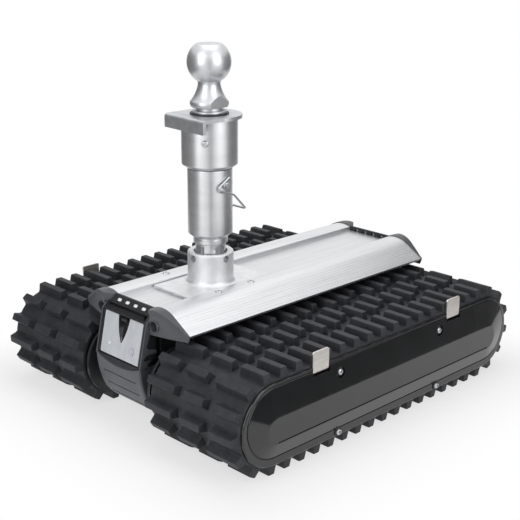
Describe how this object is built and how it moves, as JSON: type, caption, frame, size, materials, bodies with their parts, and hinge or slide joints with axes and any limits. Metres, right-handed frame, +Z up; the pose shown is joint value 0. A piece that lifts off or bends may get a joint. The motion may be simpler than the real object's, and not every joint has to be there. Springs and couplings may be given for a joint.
{
  "type": "caravan motor mover",
  "caption": "Battery caravan mover on two rubber tracks, with a ribbed aluminium deck and a swivelling, height-adjustable tow-ball mast.",
  "frame": {"origin": "on the ground, under the middle of the two tracks", "axes": "+Z up, +Y along the tracks towards the rear, so the control panel faces -Y and +X is to the right of someone facing it"},
  "size_m": [0.418, 0.4877, 0.4218],
  "materials": {
    "track_rubber": "matt moulded rubber",
    "gloss_black": "gloss",
    "black_moulding": "satin",
    "grey_moulding": "satin",
    "pale_panel": "satin",
    "deck_aluminium": "satin anodised",
    "cast_aluminium": "fine blasted",
    "turned_steel": "turned",
    "ball_steel": "satin",
    "zinc_plate": "dull zinc",
    "zinc_screw": "zinc plated",
    "cast_screw": "satin",
    "black_steel": "powder coat",
    "cast_iron": "as cast",
    "bronze_bush": "machined",
    "tab_steel": "bright",
    "circuit_board": "lacquered",
    "lamp_lens": "clear white"
  },
  "bodies": {
    "chassis": {"deck": "deck_aluminium", "front_end_cap": "black_moulding", "rear_end_cap": "black_moulding", "end_cap_screws": "zinc_screw", "body_shell": "black_steel", "belly_plate": "black_steel", "front_bezel": "black_moulding", "front_bow_cover": "grey_moulding", "rear_bow_cover": "grey_moulding", "controller_board": "circuit_board", "mast_socket": "cast_aluminium", "socket_screws": "cast_screw", "deck_screws": "cast_screw", "socket_bush": "bronze_bush", "left_belt": "track_rubber", "left_inner_plate": "black_steel", "left_outer_plate": "zinc_plate", "left_bearings": "turned_steel", "left_axles": "turned_steel", "left_gear_motor": "cast_aluminium", "left_side_cover": "gloss_black", "left_cover_screws": "zinc_screw", "left_cover_tabs": "tab_steel", "right_belt": "track_rubber", "right_inner_plate": "black_steel", "right_outer_plate": "zinc_plate", "right_bearings": "turned_steel", "right_axles": "turned_steel", "right_gear_motor": "cast_aluminium", "right_side_cover": "gloss_black", "right_cover_screws": "zinc_screw", "right_cover_tabs": "tab_steel"},
    "mast": {"mast_spigot": "turned_steel", "mast_tube": "turned_steel"},
    "head": {"head_post": "turned_steel", "head_sleeve": "turned_steel", "head_plate": "zinc_plate", "sleeve_screw": "zinc_screw", "tow_ball": "ball_steel", "ball_washer": "zinc_plate", "ball_nut": "zinc_screw"},
    "pin": {"lock_pin": "turned_steel"},
    "bail": {"pin_bail": "zinc_screw"},
    "battery": {"battery_pack": "black_moulding", "control_panel": "pale_panel", "thumb_scoop": "gloss_black", "status_lamp": "lamp_lens"},
    "button": {"power_button": "pale_panel"},
    "latch": {"battery_latch": "black_moulding"},
    "left_drive": {"left_sprocket": "cast_iron", "left_drive_shaft": "turned_steel"},
    "left_idler_body": {"left_idler": "black_moulding"},
    "left_front_roller_body": {"left_front_roller": "black_moulding"},
    "left_rear_roller_body": {"left_rear_roller": "black_moulding"},
    "right_drive": {"right_sprocket": "cast_iron", "right_drive_shaft": "turned_steel"},
    "right_idler_body": {"right_idler": "black_moulding"},
    "right_front_roller_body": {"right_front_roller": "black_moulding"},
    "right_rear_roller_body": {"right_rear_roller": "black_moulding"}
  },
  "joints": [
    {"name": "left_track_drive", "type": "hinge", "parent": "chassis", "child": "left_drive", "pos_m": [-0.1315, 0.186, 0.05784], "axis": [1, 0, 0], "continuous": true, "deforming": ["left_belt"]},
    {"name": "left_idler_spin", "type": "hinge", "parent": "chassis", "child": "left_idler_body", "pos_m": [-0.1315, -0.186, 0.05784], "axis": [1, 0, 0], "continuous": true},
    {"name": "left_front_roller_spin", "type": "hinge", "parent": "chassis", "child": "left_front_roller_body", "pos_m": [-0.1315, -0.062, 0.0373], "axis": [1, 0, 0], "continuous": true},
    {"name": "left_rear_roller_spin", "type": "hinge", "parent": "chassis", "child": "left_rear_roller_body", "pos_m": [-0.1315, 0.062, 0.0373], "axis": [1, 0, 0], "continuous": true},
    {"name": "right_track_drive", "type": "hinge", "parent": "chassis", "child": "right_drive", "pos_m": [0.1315, 0.186, 0.05784], "axis": [1, 0, 0], "continuous": true, "deforming": ["right_belt"]},
    {"name": "right_idler_spin", "type": "hinge", "parent": "chassis", "child": "right_idler_body", "pos_m": [0.1315, -0.186, 0.05784], "axis": [1, 0, 0], "continuous": true},
    {"name": "right_front_roller_spin", "type": "hinge", "parent": "chassis", "child": "right_front_roller_body", "pos_m": [0.1315, -0.062, 0.0373], "axis": [1, 0, 0], "continuous": true},
    {"name": "right_rear_roller_spin", "type": "hinge", "parent": "chassis", "child": "right_rear_roller_body", "pos_m": [0.1315, 0.062, 0.0373], "axis": [1, 0, 0], "continuous": true},
    {"name": "mast_swivel", "type": "hinge", "parent": "chassis", "child": "mast", "pos_m": [0, -0.089, 0.18004], "axis": [0, 0, 1], "continuous": true},
    {"name": "head_lift", "type": "slide", "parent": "mast", "child": "head", "axis": [0, 0, 1], "range_m": [0, 0.04]},
    {"name": "pin_pull", "type": "slide", "parent": "mast", "child": "pin", "axis": [1, 0, 0], "range_m": [0, 0.055]},
    {"name": "bail_swing", "type": "hinge", "parent": "pin", "child": "bail", "pos_m": [0.0282, -0.089, 0.26304], "axis": [1, 0, 0], "range_deg": [0, 60]},
    {"name": "battery_slide", "type": "slide", "parent": "chassis", "child": "battery", "axis": [0, -1, 0], "range_m": [0, 0.15]},
    {"name": "power_press", "type": "slide", "parent": "battery", "child": "button", "axis": [0, 0.9781, -0.2079], "range_m": [0, 0.0012], "stiffness_N_per_m": 400, "springref_m": -0.0005},
    {"name": "latch_press", "type": "slide", "parent": "battery", "child": "latch", "axis": [0, -0.2079, -0.9781], "range_m": [0, 0.002], "stiffness_N_per_m": 300, "springref_m": -0.001}
  ],
  "couplings": [
    {"joint": "left_idler_spin", "follows": "left_track_drive", "ratio": 1},
    {"joint": "left_front_roller_spin", "follows": "left_track_drive", "ratio": 1.9335},
    {"joint": "left_rear_roller_spin", "follows": "left_track_drive", "ratio": 1.9335},
    {"joint": "right_idler_spin", "follows": "right_track_drive", "ratio": 1},
    {"joint": "right_front_roller_spin", "follows": "right_track_drive", "ratio": 1.9335},
    {"joint": "right_rear_roller_spin", "follows": "right_track_drive", "ratio": 1.9335}
  ]
}
